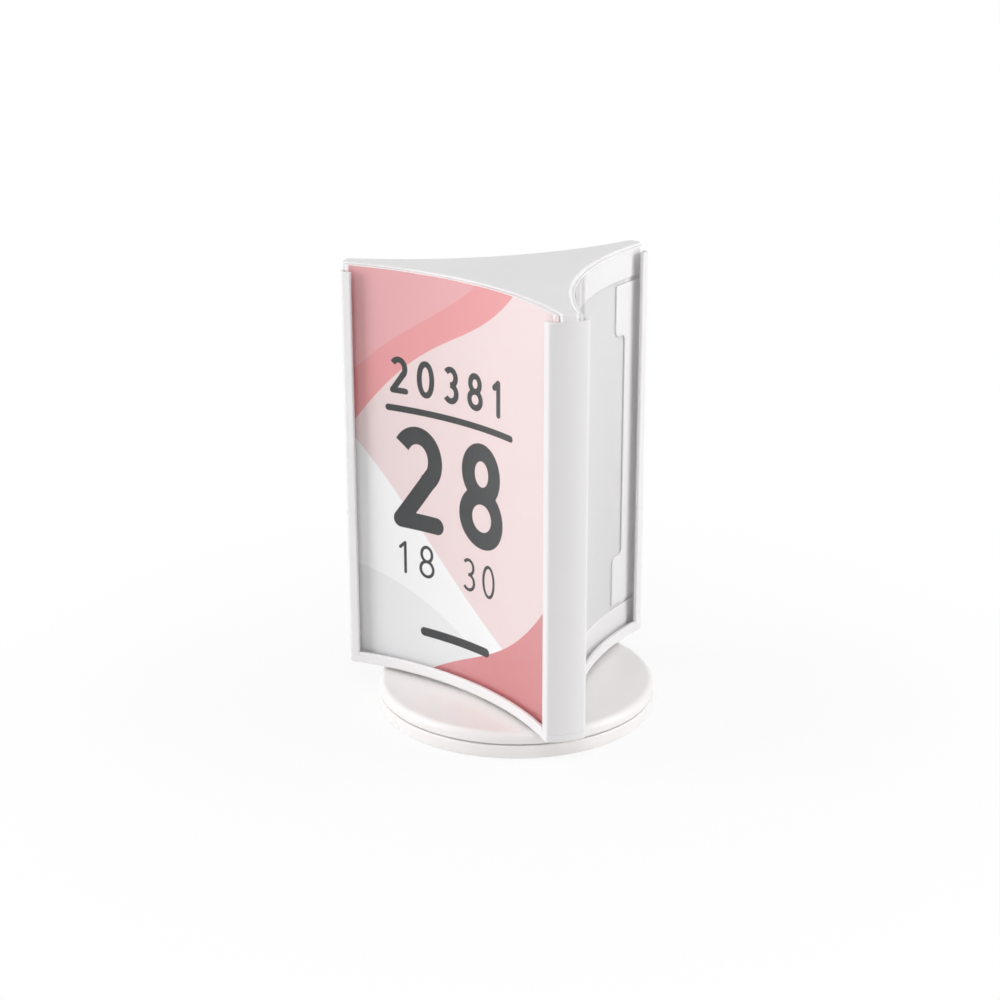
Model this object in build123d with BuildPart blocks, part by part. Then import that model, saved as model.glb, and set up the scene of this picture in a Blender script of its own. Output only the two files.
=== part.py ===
from build123d import *
from math import acos, atan2, cos, degrees, hypot, radians, sin, sqrt, tan
import os

# A rotating holder for upright cards: a tower with three hollow faces on a two-disc turntable.
# Sizes are in millimetres and degrees. The turning axis is the Z axis, and the floor is at height zero.

# Cards and clear covers
card_width = 105.0
card_height = 148.0
card_thickness = 0.3
card_side_play = 0.2
cover_thickness = 1.0
sheet_gap = 0.2
sheet_end_gap = 0.3

# Plan of the tower: each face is hollow, along arcs about a centre that lies outside it. A slot ends
# where its middle is the offset away from the line down the middle of the corner
corner_count = 3
face_radius = 123.2
slot_end_offset = 3.27
slot_depth = 2.8
corner_wall = 1.5
corner_front_radius = 24.0
lip_wall = 1.4
lip_length = 3.6
lip_tip_radius = 0.6
lip_corner_radius = 0.8

# Heights, from the floor up
foot_proud_height = 0.5
base_height = 4.85
disc_gap = 0.6
turntable_height = 4.35
tray_lift_height = 1.5
tray_floor_thickness = 1.4
post_seat_height = 1.5
tray_lip_height = 2.7
tray_lip_end_gap = 0.1
tray_edge_chamfer = 0.8
upstand_height = 11.2
skirt_height = 8.5
cap_thickness = 2.7
cap_cover_height = 0.6
cap_edge_chamfer = 0.5

# Back panels, which stand behind the tray's upstands and the cap's skirts
skirt_wall = 1.2
skirt_end_gap = 0.15
panel_gap = 0.1
panel_end_gap = 0.15
panel_thickness = 1.5
panel_play = 0.2

# Flanges of the corner posts, beside the panels: they stop short of the skirts and the upstands, and are
# drawn back along their middle
flange_width = 16.8
flange_gap = 1.6
relief_height = 85.0
relief_radius = 2.3

# Spine of a corner post: shoulders for the panels, a chamber, and a boss with a port between the panels
shoulder_depth = 11.6
port_boss_radius = 3.3
port_boss_gap = 0.4
port_boss_overlap = 0.3
chamber_wall = 1.3

# Turntable and base discs
disc_radius = 50.0
disc_wall = 1.8
disc_rim_wall = 2.8
turntable_edge_chamfer = 1.5
turntable_edge_easing = 0.6
base_edge_chamfer = 0.5
rib_count = 8
rib_wall = 1.4
rib_lift_height = 0.7

# Glide blocks between the discs, one over each rib
glide_inset = 13.0
glide_block_length = 8.0
glide_block_width = 3.0
glide_play = 0.05

# Pivot at the centre of the discs: a hub, held by a plug
hub_radius = 7.0
hub_play = 0.06
pivot_lift_height = 0.1
plug_flange_radius = 9.5
plug_flange_thickness = 1.2
plug_stem_radius = 3.0
plug_stem_length = 5.0
plug_stem_play = 0.05
plug_end_play = 0.4
pivot_ring_gap = 1.5
pivot_ring_wall = 1.6

# Pad under the tray, with square keys that stop it from turning on the turntable disc
tray_pad_inset = 3.0
key_width = 5.0
key_inset = 5.0
key_play = 0.05
key_end_play = 0.2

# Square pins of the tray and the cap, in the ports of the posts
pin_width = 2.9
pin_length = 8.0
pin_play = 0.05

# Rubber feet
foot_count = 4
foot_inset = 9.0
foot_radius = 5.5
foot_thickness = 2.0
foot_boss_wall = 1.0

# Underside of the cap
cap_rib_wall = 1.4
cap_rib_height = 5.0
cap_rib_gap = 6.0

# Heights worked out from the sizes above
base_floor = foot_proud_height
base_top = base_floor + base_height
base_roof = base_top - disc_wall
turntable_floor = base_top + disc_gap
turntable_top = turntable_floor + turntable_height
turntable_roof = turntable_top - disc_wall
hub_floor = base_roof - pivot_lift_height
tray_floor = turntable_top + tray_lift_height
sheet_floor = tray_floor + tray_floor_thickness
post_floor = sheet_floor + post_seat_height
cap_top = sheet_floor + card_height + cap_cover_height
post_top = cap_top - cap_thickness
upstand_top = sheet_floor + upstand_height
skirt_floor = post_top - skirt_height
flange_floor = upstand_top + flange_gap
flange_top = skirt_floor - flange_gap

# Radii about a face's centre, from the open side in towards the tower
lip_inner_radius = face_radius - slot_depth
lip_outer_radius = lip_inner_radius - lip_wall
card_back_radius = face_radius - sheet_gap
card_front_radius = card_back_radius - card_thickness
cover_back_radius = card_front_radius - sheet_gap
cover_front_radius = cover_back_radius - cover_thickness
skirt_back_radius = face_radius + skirt_wall
panel_front_radius = skirt_back_radius + panel_gap
panel_back_radius = panel_front_radius + panel_thickness
spine_back_radius = panel_back_radius + panel_gap
chamber_radius = panel_front_radius + chamber_wall

# Distances from the axis out along a corner: the slots are as wide as the card and its play
full_turn = 360.0
corner_step = full_turn / corner_count
half_step = corner_step / 2
card_middle_radius = (card_front_radius + card_back_radius) / 2
card_half_angle = degrees(card_width / 2 / card_middle_radius)
slot_half_angle = degrees((card_width / 2 + card_side_play) / card_middle_radius)
centre_side = slot_end_offset + card_middle_radius * sin(radians(slot_half_angle + half_step))
face_centre = centre_side / sin(radians(half_step))
centre_reach = face_centre * cos(radians(half_step))
slot_end_reach = centre_reach - card_middle_radius * cos(radians(slot_half_angle + half_step))
corner_reach = slot_end_reach + corner_wall
shoulder_reach = corner_reach - shoulder_depth
port_reach = centre_reach - sqrt((panel_back_radius + port_boss_gap + port_boss_radius) ** 2 - centre_side**2)
spine_reach = port_reach + port_boss_radius - port_boss_overlap

# Circles about the axis
disc_hollow_radius = disc_radius - disc_rim_wall
glide_radius = disc_radius - glide_inset
foot_circle_radius = disc_radius - foot_inset
pivot_ring_inner = plug_flange_radius + pivot_ring_gap
pivot_ring_outer = pivot_ring_inner + pivot_ring_wall
tray_pad_radius = face_centre - lip_outer_radius - tray_pad_inset
key_reach = tray_pad_radius - key_inset


def face_angle(radius, reach):
    """Angle from a face's middle at which its arc of this radius has come this far along the corner."""
    return degrees(acos((centre_reach - reach) / radius)) - half_step


def front_angle(radius):
    """Angle from a face's middle at which its arc of this radius meets the corner's bulged front."""
    bulge_centre = corner_reach - corner_front_radius
    out = face_centre - bulge_centre * cos(radians(half_step))
    along = bulge_centre * sin(radians(half_step))
    gap = hypot(out, along)
    opening = acos((gap**2 + radius**2 - corner_front_radius**2) / (2 * gap * radius))
    return degrees(atan2(along, out) + opening)


def corner_point(radius, angle, side):
    """Point on a face's arc, seen from the corner: X runs out along the corner, Y to the side."""
    turn = radians(angle + half_step)
    return (centre_reach - radius * cos(turn), side * (centre_side - radius * sin(turn)))


def corner_arc(radius, start, end, side):
    """Stretch of a face's arc between two angles, seen from the corner."""
    middle = corner_point(radius, (start + end) / 2, side)
    return ThreePointArc(corner_point(radius, start, side), middle, corner_point(radius, end, side))


def corner_turn(index):
    """Direction of a corner about the axis. Face 1 looks towards -Y, and corner 1 is at its right."""
    return corner_step * (index - 1) + half_step - full_turn / 4


def corner_plane(index, height):
    """Plane at a height with its origin on the axis and X out along a corner."""
    return Plane.XY.offset(height).rotated((0, 0, corner_turn(index)))


def face_plane(index, height):
    """Plane at a height with its origin at a face's centre and X in towards the tower."""
    turned = Plane.XY.offset(height).rotated((0, 0, corner_turn(index) - half_step + full_turn / 2))
    return Plane(turned.from_local_coords((-face_centre, 0, 0)), turned.x_dir, turned.z_dir)


def tower_plan(radius, corner_inset=0.0):
    """Plan with a hollow arc along each face. Corners are bulged, or flat when they are drawn in."""
    end = face_angle(radius, corner_reach - corner_inset) if corner_inset else front_angle(radius)
    with BuildSketch() as plan:
        with BuildLine():
            for index in range(corner_count):
                here, following = corner_plane(index, 0), corner_plane(index + 1, 0)
                left = here.from_local_coords((*corner_point(radius, end, -1), 0))
                right = here.from_local_coords((*corner_point(radius, end, 1), 0))
                if corner_inset:
                    Line(left, right)
                else:
                    ThreePointArc(left, here.from_local_coords((corner_reach, 0, 0)), right)
                middle = face_plane(index + 1, 0).from_local_coords((radius, 0, 0))
                ThreePointArc(right, middle, following.from_local_coords((*corner_point(radius, end, -1), 0)))
        make_face()
    return plan.sketch


def sheet_section(front, back, half_angle):
    """Section of a curved sheet between two radii about a face's centre."""
    far = 2 * back
    rise = far * tan(radians(half_angle))
    with BuildSketch() as section:
        Circle(back)
        Circle(front, mode=Mode.SUBTRACT)
        with BuildLine():
            Polyline((0, 0), (far, -rise), (far, rise), close=True)
        make_face(mode=Mode.INTERSECT)
    return section.sketch


def spine_section():
    """Section of a post's middle: guides for the sheets, shoulders for the panels, and a port."""
    wall = face_angle(face_radius, slot_end_reach)
    shoulder = face_angle(panel_front_radius, shoulder_reach)
    tail = face_angle(spine_back_radius, spine_reach)
    with BuildSketch() as spine:
        with BuildLine():
            for side in (-1, 1):
                guide = corner_arc(face_radius, wall, shoulder, side)
                back = corner_arc(spine_back_radius, shoulder, tail, side)
                Line(guide @ 1, back @ 0)
            Line(corner_point(face_radius, wall, -1), corner_point(face_radius, wall, 1))
            Line(corner_point(spine_back_radius, tail, -1), corner_point(spine_back_radius, tail, 1))
        make_face()
        with Locations((port_reach, 0)):
            Circle(port_boss_radius)
    return spine.sketch


def chamber_section():
    """Section of the hollow between a post's guides."""
    near = face_angle(chamber_radius, shoulder_reach + chamber_wall)
    far = face_angle(chamber_radius, slot_end_reach - chamber_radius + face_radius)
    with BuildSketch() as chamber:
        with BuildLine():
            for side in (-1, 1):
                corner_arc(chamber_radius, near, far, side)
            for angle in (near, far):
                Line(corner_point(chamber_radius, angle, -1), corner_point(chamber_radius, angle, 1))
        make_face()
    return chamber.sketch


def post_section():
    """Section of a corner post: a bulged front with a lip down each side, on the hollow spine."""
    outer = front_angle(lip_outer_radius)
    inner = face_angle(lip_inner_radius, slot_end_reach)
    with BuildSketch() as section:
        with BuildLine():
            for side in (-1, 1):
                front = corner_arc(lip_outer_radius, outer, lip_tip_angle, side)
                back = corner_arc(lip_inner_radius, lip_tip_angle, inner, side)
                Line(front @ 1, back @ 0)
            left, right = (corner_point(lip_outer_radius, outer, side) for side in (-1, 1))
            ThreePointArc(left, (corner_reach, 0), right)
            Line(corner_point(lip_inner_radius, inner, -1), corner_point(lip_inner_radius, inner, 1))
        make_face()
        fillet(section.vertices().group_by(Axis.X)[0], lip_tip_radius)
        fillet(section.vertices().group_by(SortBy.DISTANCE)[-1], lip_corner_radius)
        add(spine_section())
        add(chamber_section(), mode=Mode.SUBTRACT)
        with Locations((port_reach, 0)):
            Rectangle(pin_width + 2 * pin_play, pin_width + 2 * pin_play, mode=Mode.SUBTRACT)
    return section.sketch


def flange_section():
    """Section of a post's two flanges, which widen its guides in front of the panels."""
    edge = slot_end_angle - degrees(flange_width / face_radius)
    with BuildSketch() as section:
        for side in (-1, 1):
            with BuildLine():
                front = corner_arc(face_radius, slot_end_angle, edge, side)
                back = corner_arc(skirt_back_radius, slot_end_angle, edge, side)
                Line(front @ 0, back @ 0)
                Line(front @ 1, back @ 1)
            make_face()
    return section.sketch


def relief_outline(index):
    """What the relief takes from a face's flanges, seen square to the face: wide along the middle height,
    with an eased step down to the flanges' full width at both ends."""
    edge = slot_end_angle - degrees(flange_width / face_radius)
    plan = face_plane(index, 0)
    upright = Plane(plan.origin, x_dir=plan.y_dir, z_dir=plan.x_dir).offset(lip_inner_radius / 2)
    with BuildSketch(upright) as outline:
        with Locations((0, (flange_floor + flange_top) / 2)):
            Rectangle(2 * face_radius * sin(radians(edge)), flange_top - flange_floor + 2 * flange_gap)
            Rectangle(2 * face_radius * sin(radians(shoulder_angle)), relief_height)
        steps = outline.vertices().group_by(Axis.Y)[1:-1]
        fillet(steps[0] + steps[1], relief_radius)
    return outline.sketch


def foot_dots(radius):
    """One circle for each foot, midway between two ribs."""
    with BuildSketch() as section:
        with PolarLocations(foot_circle_radius, foot_count, start_angle=foot_start):
            Circle(radius)
    return section.sketch


def corner_squares(reach, width):
    """One square towards each corner."""
    with BuildSketch() as section:
        with PolarLocations(reach, corner_count, start_angle=corner_turn(1)):
            Rectangle(width, width)
    return section.sketch


def save(piece, name):
    """Name a finished piece and write its file."""
    piece.label = name
    export_step(piece, f"parts/{name}.step")


os.makedirs("parts", exist_ok=True)
lip_tip_angle = front_angle(lip_outer_radius) - degrees(lip_length / lip_outer_radius)
shoulder_angle = face_angle(panel_front_radius, shoulder_reach)
slot_end_angle = face_angle(face_radius, slot_end_reach)
skirt_half_angle = slot_end_angle - degrees(skirt_end_gap / face_radius)

# Base disc: a shallow moulded dish, open below, with ribs, bosses for the feet and glide blocks on top
rib_root = pivot_ring_outer - pivot_ring_wall / 2
rib_end = disc_hollow_radius + disc_rim_wall / 2
foot_start = full_turn / rib_count / 2
with BuildPart() as base_disc:
    with BuildSketch(Plane.XY.offset(base_floor)):
        Circle(disc_radius)
    extrude(amount=base_height)
    chamfer(base_disc.edges().sort_by(Axis.Z)[-1], base_edge_chamfer)
    with BuildSketch(Plane.XY.offset(base_floor)):
        Circle(disc_hollow_radius)
    extrude(amount=base_roof - base_floor, mode=Mode.SUBTRACT)
    with BuildSketch(Plane.XY.offset(base_floor)):
        Circle(pivot_ring_outer)
        Circle(pivot_ring_inner, mode=Mode.SUBTRACT)
    extrude(amount=base_roof - base_floor)
    with BuildSketch(Plane.XY.offset(base_floor + rib_lift_height)):
        with PolarLocations((rib_root + rib_end) / 2, rib_count):
            Rectangle(rib_end - rib_root, rib_wall)
    extrude(amount=base_roof - base_floor - rib_lift_height)
    with BuildSketch(Plane.XY.offset(foot_thickness)):
        add(foot_dots(foot_radius + foot_boss_wall))
    extrude(amount=base_roof - foot_thickness)
    with BuildSketch(Plane.XY.offset(base_top)):
        with PolarLocations(glide_radius, rib_count):
            Rectangle(glide_block_width, glide_block_length)
    extrude(amount=turntable_roof - base_top - glide_play)
    with BuildSketch(Plane.XY.offset(base_floor)):
        Circle(hub_radius + hub_play)
    extrude(amount=base_height, mode=Mode.SUBTRACT)
save(base_disc.part, "base_disc")

# Rubber feet: round pads under the bosses of the base disc
with BuildPart() as rubber_feet:
    with BuildSketch():
        add(foot_dots(foot_radius))
    extrude(amount=foot_thickness)
save(rubber_feet.part, "rubber_feet")

# Turntable disc: a round-edged cover, open below, whose roof rests on the glide blocks, with the pivot hub
with BuildPart() as turntable_disc:
    with BuildSketch(Plane.XY.offset(turntable_floor)):
        Circle(disc_radius)
    extrude(amount=turntable_height)
    chamfer(turntable_disc.edges().sort_by(Axis.Z)[-1], turntable_edge_chamfer)
    chamfer(turntable_disc.edges().filter_by(GeomType.CIRCLE).sort_by(Axis.Z)[-2:], turntable_edge_easing)
    with BuildSketch(Plane.XY.offset(turntable_floor)):
        Circle(disc_hollow_radius)
    extrude(amount=turntable_roof - turntable_floor, mode=Mode.SUBTRACT)
    with BuildSketch(Plane.XY.offset(turntable_floor)):
        Circle(pivot_ring_outer)
    extrude(amount=turntable_roof - turntable_floor)
    with BuildSketch(Plane.XY.offset(hub_floor)):
        Circle(hub_radius)
    extrude(amount=turntable_floor - hub_floor)
    with BuildSketch(Plane.XY.offset(hub_floor)):
        Circle(plug_stem_radius + plug_stem_play)
    extrude(amount=plug_stem_length + plug_end_play, mode=Mode.SUBTRACT)
    with BuildSketch(Plane.XY.offset(turntable_top)):
        add(corner_squares(key_reach, key_width + 2 * key_play))
    extrude(amount=-disc_wall, mode=Mode.SUBTRACT)
save(turntable_disc.part, "turntable_disc")

# Pivot plug: pressed up into the hub, with a flange under the base disc so that the discs can't part
with BuildPart() as pivot_plug:
    with BuildSketch(Plane.XY.offset(hub_floor)):
        Circle(plug_flange_radius)
    extrude(amount=-plug_flange_thickness)
    with BuildSketch(Plane.XY.offset(hub_floor)):
        Circle(plug_stem_radius)
    extrude(amount=plug_stem_length)
save(pivot_plug.part, "pivot_plug")

# Bottom tray: floor, front lips and upstands that the sheets stand between, and seats and pins for posts
with BuildPart() as bottom_tray:
    with BuildSketch(Plane.XY.offset(tray_floor)):
        add(tower_plan(lip_outer_radius))
    extrude(amount=post_floor - tray_floor)
    chamfer(bottom_tray.faces().sort_by(Axis.Z)[0].edges(), tray_edge_chamfer)
    with BuildSketch(Plane.XY.offset(sheet_floor)):
        add(tower_plan(lip_inner_radius, corner_wall))
    extrude(amount=post_seat_height, mode=Mode.SUBTRACT)
    lip_end_angle = lip_tip_angle - degrees(tray_lip_end_gap / lip_outer_radius)
    for index in range(1, corner_count + 1):
        with BuildSketch(corner_plane(index, sheet_floor)):
            add(spine_section())
        extrude(amount=post_seat_height)
        with BuildSketch(face_plane(index, sheet_floor)):
            add(sheet_section(lip_outer_radius, lip_inner_radius, lip_end_angle))
        extrude(amount=tray_lip_height)
        with BuildSketch(face_plane(index, sheet_floor)):
            add(sheet_section(face_radius, skirt_back_radius, skirt_half_angle))
        extrude(amount=upstand_height)
    with BuildSketch(Plane.XY.offset(turntable_top)):
        Circle(tray_pad_radius)
    extrude(amount=tray_lift_height)
    with BuildSketch(Plane.XY.offset(turntable_top)):
        add(corner_squares(key_reach, key_width))
    extrude(amount=key_end_play - disc_wall)
    with BuildSketch(Plane.XY.offset(post_floor)):
        add(corner_squares(port_reach, pin_width))
    extrude(amount=pin_length)
save(bottom_tray.part, "bottom_tray")

# Corner posts: profiles that stand on the tray and carry the cap, with flanges in front of the panels and
# pockets at both ends for the upstands and the skirts
for index in range(1, corner_count + 1):
    with BuildPart() as corner_post:
        with BuildSketch(corner_plane(index, flange_floor)):
            add(flange_section())
        extrude(amount=flange_top - flange_floor)
        for face in (index, index % corner_count + 1):
            extrude(relief_outline(face), amount=face_radius, mode=Mode.SUBTRACT)
        with BuildSketch(corner_plane(index, post_floor)):
            add(post_section())
        extrude(amount=post_top - post_floor)
        for floor, top in ((post_floor, flange_floor), (flange_top, post_top)):
            with BuildSketch(face_plane(index, floor), face_plane(index % corner_count + 1, floor)):
                add(sheet_section(card_back_radius, panel_front_radius, slot_end_angle))
            extrude(amount=top - floor, mode=Mode.SUBTRACT)
    save(corner_post.part, f"corner_post_{index}")

# Back panels: curved sheets that slide into the rebates of the posts
panel_half_angle = shoulder_angle - degrees(panel_end_gap / panel_front_radius)
for index in range(1, corner_count + 1):
    with BuildPart() as back_panel:
        with BuildSketch(face_plane(index, sheet_floor + panel_play)):
            add(sheet_section(panel_front_radius, panel_back_radius, panel_half_angle))
        extrude(amount=post_top - sheet_floor - 2 * panel_play)
    save(back_panel.part, f"back_panel_{index}")

# Top cap: a plate flush with the fronts of the posts, with skirts, ribs and pins below it
cap_rib_reach = port_reach - cap_rib_gap
with BuildPart() as top_cap:
    with BuildSketch(Plane.XY.offset(post_top)):
        add(tower_plan(face_radius))
    extrude(amount=cap_thickness)
    chamfer(top_cap.faces().sort_by(Axis.Z)[-1].edges(), cap_edge_chamfer)
    for index in range(1, corner_count + 1):
        with BuildSketch(face_plane(index, skirt_floor)):
            add(sheet_section(face_radius, skirt_back_radius, skirt_half_angle))
        extrude(amount=skirt_height)
    with BuildSketch(Plane.XY.offset(post_top)):
        with PolarLocations(cap_rib_reach / 2, corner_count, start_angle=corner_turn(1)):
            Rectangle(cap_rib_reach, cap_rib_wall)
    extrude(amount=-cap_rib_height)
    with BuildSketch(Plane.XY.offset(post_top)):
        add(corner_squares(port_reach, pin_width))
    extrude(amount=-pin_length)
save(top_cap.part, "top_cap")

# Clear covers: bent sheets that slide down the slots in front of the cards
cover_half_angle = face_angle(cover_front_radius, slot_end_reach - sheet_end_gap)
for index in range(1, corner_count + 1):
    with BuildPart() as clear_cover:
        with BuildSketch(face_plane(index, sheet_floor)):
            add(sheet_section(cover_front_radius, cover_back_radius, cover_half_angle))
        extrude(amount=card_height)
    save(clear_cover.part, f"clear_cover_{index}")

# Insert card: the printed card behind the cover of face 1
with BuildPart() as insert_card:
    with BuildSketch(face_plane(1, sheet_floor)):
        add(sheet_section(card_front_radius, card_back_radius, card_half_angle))
    extrude(amount=card_height)
save(insert_card.part, "insert_card")
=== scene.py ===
from math import acos, asin, atan2, cos, degrees, hypot, pi, radians, sin

import bmesh
import bpy
import numpy as np
from mathutils import Matrix, Vector


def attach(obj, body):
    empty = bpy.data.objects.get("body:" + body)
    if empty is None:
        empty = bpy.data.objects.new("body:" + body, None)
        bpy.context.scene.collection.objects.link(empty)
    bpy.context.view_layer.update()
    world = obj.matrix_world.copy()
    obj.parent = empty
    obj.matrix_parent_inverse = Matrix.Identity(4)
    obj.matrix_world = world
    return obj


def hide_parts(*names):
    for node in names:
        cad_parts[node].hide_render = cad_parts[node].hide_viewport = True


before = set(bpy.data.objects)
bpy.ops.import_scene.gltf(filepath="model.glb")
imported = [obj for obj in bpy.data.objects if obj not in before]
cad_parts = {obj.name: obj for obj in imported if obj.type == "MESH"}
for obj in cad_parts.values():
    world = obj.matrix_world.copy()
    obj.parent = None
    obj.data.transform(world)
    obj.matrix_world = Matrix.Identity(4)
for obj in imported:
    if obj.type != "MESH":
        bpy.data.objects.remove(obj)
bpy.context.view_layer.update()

# Base disc
# The lower disc stays still on the table. It is a shallow dish moulded in warm white plastic, open below,
# with eight ribs, a boss over each foot, and on top eight blocks that the turntable glides on. Sizes here
# and in the other pieces are in millimetres, until solid() takes them to metres.

disc_radius = 50.0
disc_hollow_radius = 47.2
base_floor, base_top, base_roof = 0.5, 5.35, 3.55
hub_bore_radius = 7.06
pivot_ring = (11.0, 12.6)
glide_radius, glide_half_length, glide_half_width, glide_top = 37.0, 4.0, 1.5, 8.45
base_ribs = 8
rib_half_width, rib_floor, rib_end_sunk = 0.7, 1.2, 0.8
boss_wall, sunk = 1.0, 0.5
foot_count, first_foot, foot_circle_radius = 4, 22.5, 41.0
foot_radius, foot_height = 5.5, 2.0
foot_turns = np.radians(first_foot + 360 / foot_count * np.arange(foot_count))
foot_places = [(foot_circle_radius * cos(turn), foot_circle_radius * sin(turn), 0) for turn in foot_turns]
warm_white = (0.90, 0.878, 0.866)
warm_shade = (0.885, 0.862, 0.85)


def conic(a, c, b, w, t):
    """Curve from a to b with its handle at c and a weight w on the handle:
    ((1-t)^2 a + 2wt(1-t) c + t^2 b) / ((1-t)^2 + 2wt(1-t) + t^2)."""
    first, middle, last = (1 - t) ** 2, 2 * w * t * (1 - t), t**2
    return (first * a + middle * c + last * b) / (first + middle + last)


def eased(corners, reach, closed=True, steps=6):
    """Outline through straight corners. Each corner becomes the arc from one reach before it to one reach
    after it, a conic whose weight is the cosine of half the turn. An open outline keeps its end points."""
    c = np.array(corners, float)
    reach = np.broadcast_to(np.asarray(reach, float), len(c))[:, None]
    back, ahead = np.roll(c, 1, 0) - c, np.roll(c, -1, 0) - c
    back /= np.linalg.norm(back, axis=1)[:, None]
    ahead /= np.linalg.norm(ahead, axis=1)[:, None]
    w = np.sqrt((1 - (back * ahead).sum(1)) / 2)[:, None, None]
    a, b, c = (c + back * reach)[:, None], (c + ahead * reach)[:, None], c[:, None]
    t = np.linspace(0, 1, steps)[None, :, None]
    curve = conic(a, c, b, w, t)
    if closed:
        return curve.reshape(-1, 2)
    return np.concatenate([c[0], curve[1:-1].reshape(-1, 2), c[-1]])


def skin(loops, low="open", high="open", welded=False):
    """Shell over a grid of points: quad (i, j) joins steps j and j + 1 of loops i and i + 1, and the steps
    close round. A pole end draws in to its loop's middle, a flat end is one face, and a strip end joins
    step j to step -1 - j. A welded shell joins its last loop to its first."""
    loop_count, count = loops.shape[:2]
    grid = np.arange(loop_count * count).reshape(loop_count, count)
    ahead = np.roll(grid, -1, axis=1)
    above, above_ahead = (np.roll(g, -1, axis=0) if welded else g[1:] for g in (grid, ahead))
    rows = loop_count if welded else loop_count - 1
    quads = np.stack([grid[:rows], ahead[:rows], above_ahead[:rows], above[:rows]], -1).reshape(-1, 4)
    points, faces = [loops.reshape(-1, 3)], [quads]
    for row, style, turned_over in ((0, low, True), (loop_count - 1, high, False)):
        ring = grid[row][::-1] if turned_over else grid[row]
        if style == "pole":
            middle = sum(map(len, points))
            points.append(loops[row].mean(0)[None])
            faces.append(np.stack([ring, np.roll(ring, -1), np.full(count, middle)], -1))
        elif style == "flat":
            faces.append(ring[None])
        elif style == "strip":
            half = ring[: count // 2]
            facing = ring[::-1][: count // 2]
            faces.append(np.stack([half[:-1], half[1:], facing[1:], facing[:-1]], -1))
    corners = np.concatenate([f.ravel() for f in faces])
    sizes = np.concatenate([np.full(len(f), f.shape[1]) for f in faces])
    return np.concatenate(points), corners, sizes


def turned(outline, closed=False, steps=192):
    """Surface of revolution: P(i, j) = (r_i cos a_j, r_i sin a_j, z_i). An open outline ends on the axis."""
    turn = np.linspace(0, 2 * pi, steps, endpoint=False)
    rings = outline if closed else outline[1:-1]
    radius, height = rings[:, 0, None], rings[:, 1, None]
    loops = np.stack([radius * np.cos(turn), radius * np.sin(turn), height + 0 * turn], -1)
    style = "open" if closed else "pole"
    points, corners, sizes = skin(loops, style, style, welded=closed)
    if not closed:
        points[-2:, 2] = outline[0, 1], outline[-1, 1]
    return points, corners, sizes


def pad(radius, bottom, top, low_ease, high_ease, steps):
    """Round pad about the axis, with its lower and upper edges eased."""
    corners = [(0, bottom), (radius, bottom), (radius, top), (0, top)]
    return turned(eased(corners, [0.1, low_ease, high_ease, 0.1], closed=False), steps=steps)


def moved(shell, offset=(0, 0, 0), turn=0.0):
    """The shell turned about the axis by an angle in radians, then shifted."""
    points, corners, sizes = shell
    c, s = cos(turn), sin(turn)
    return points @ np.array([[c, s, 0], [-s, c, 0], [0, 0, 1]]) + np.array(offset, float), corners, sizes


def rounded_bar(half_length, half_width, ease, columns=2):
    """Outline (s, t) of a bar, s along it and t across it, with a quarter circle of the easing radius at
    each corner. Step j and step -1 - j face each other across the bar."""
    turn = np.linspace(0, pi / 2, 5)
    along = np.linspace(-half_length + ease, half_length - ease, columns)[1:-1]
    left = np.stack([-half_length + ease - ease * np.cos(turn), -half_width + ease - ease * np.sin(turn)], -1)
    middle = np.stack([along, np.full(len(along), -half_width)], -1)
    right = left[::-1] * (-1, 1)
    front = np.concatenate([left, middle, right])
    return np.concatenate([front, front[::-1] * (1, -1)])


def levels(bottom, top, low_ease, high_ease, steps=5):
    """Insets and heights up the side of a piece whose lower and upper edges are quarter circles: at turn a
    of an edge with radius e, the inset is e(1 - sin a) and the height e(1 - cos a) from the end. One more
    level a little past each edge keeps the shading of the side flat."""
    turn = np.linspace(0, pi / 2, steps)
    inset, rise = 1 - np.sin(turn), 1 - np.cos(turn)
    past_edge = 0.25
    side = (bottom + low_ease + past_edge, top - high_ease - past_edge)
    insets = np.r_[low_ease * inset, 0, 0, high_ease * inset[::-1]]
    return insets, np.r_[bottom + low_ease * rise, side, top - high_ease * rise[::-1]]


def bar(half_length, half_width, bottom, top, ease, columns=2, place=lambda s, t: (s, t), edge=None):
    """Bar stood on edge: the rounded outline, drawn in at each level, put in place by a function of s, t."""
    edge = ease if edge is None else edge
    loops = []
    for inset, height in zip(*levels(bottom, top, edge, edge)):
        s, t = rounded_bar(half_length - inset, half_width - inset, max(ease - inset, ease / 10), columns).T
        x, y = place(s, t)
        loops.append(np.stack([x, y, np.full(len(x), height)], -1))
    return skin(np.array(loops), "strip", "strip")


def solid(name, shells, sharp=35.0, join_distance=2e-7):
    """Object of several shells, taken from millimetres to metres, smooth except along its sharp edges. Points
    that fall together are made one."""
    starts = np.cumsum([0] + [len(points) for points, _, _ in shells])[:-1]
    points = np.concatenate([points for points, _, _ in shells]) / 1000
    corners = np.concatenate([c + start for (_, c, _), start in zip(shells, starts)])
    sizes = np.concatenate([sizes for _, _, sizes in shells])
    mesh = bpy.data.meshes.new(name)
    mesh.vertices.add(len(points))
    mesh.vertices.foreach_set("co", points.astype(np.float32).ravel())
    mesh.loops.add(len(corners))
    mesh.loops.foreach_set("vertex_index", corners.astype(np.int32))
    mesh.polygons.add(len(sizes))
    mesh.polygons.foreach_set("loop_start", (np.cumsum(sizes) - sizes).astype(np.int32))
    mesh.update(calc_edges=True)
    cleaned = bmesh.new()
    cleaned.from_mesh(mesh)
    bmesh.ops.remove_doubles(cleaned, verts=cleaned.verts, dist=join_distance)
    cleaned.to_mesh(mesh)
    cleaned.free()
    mesh.validate()
    mesh.shade_smooth()
    mesh.set_sharp_from_angle(angle=radians(sharp))
    made = bpy.data.objects.new(name, mesh)
    bpy.context.scene.collection.objects.link(made)
    return made


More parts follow.
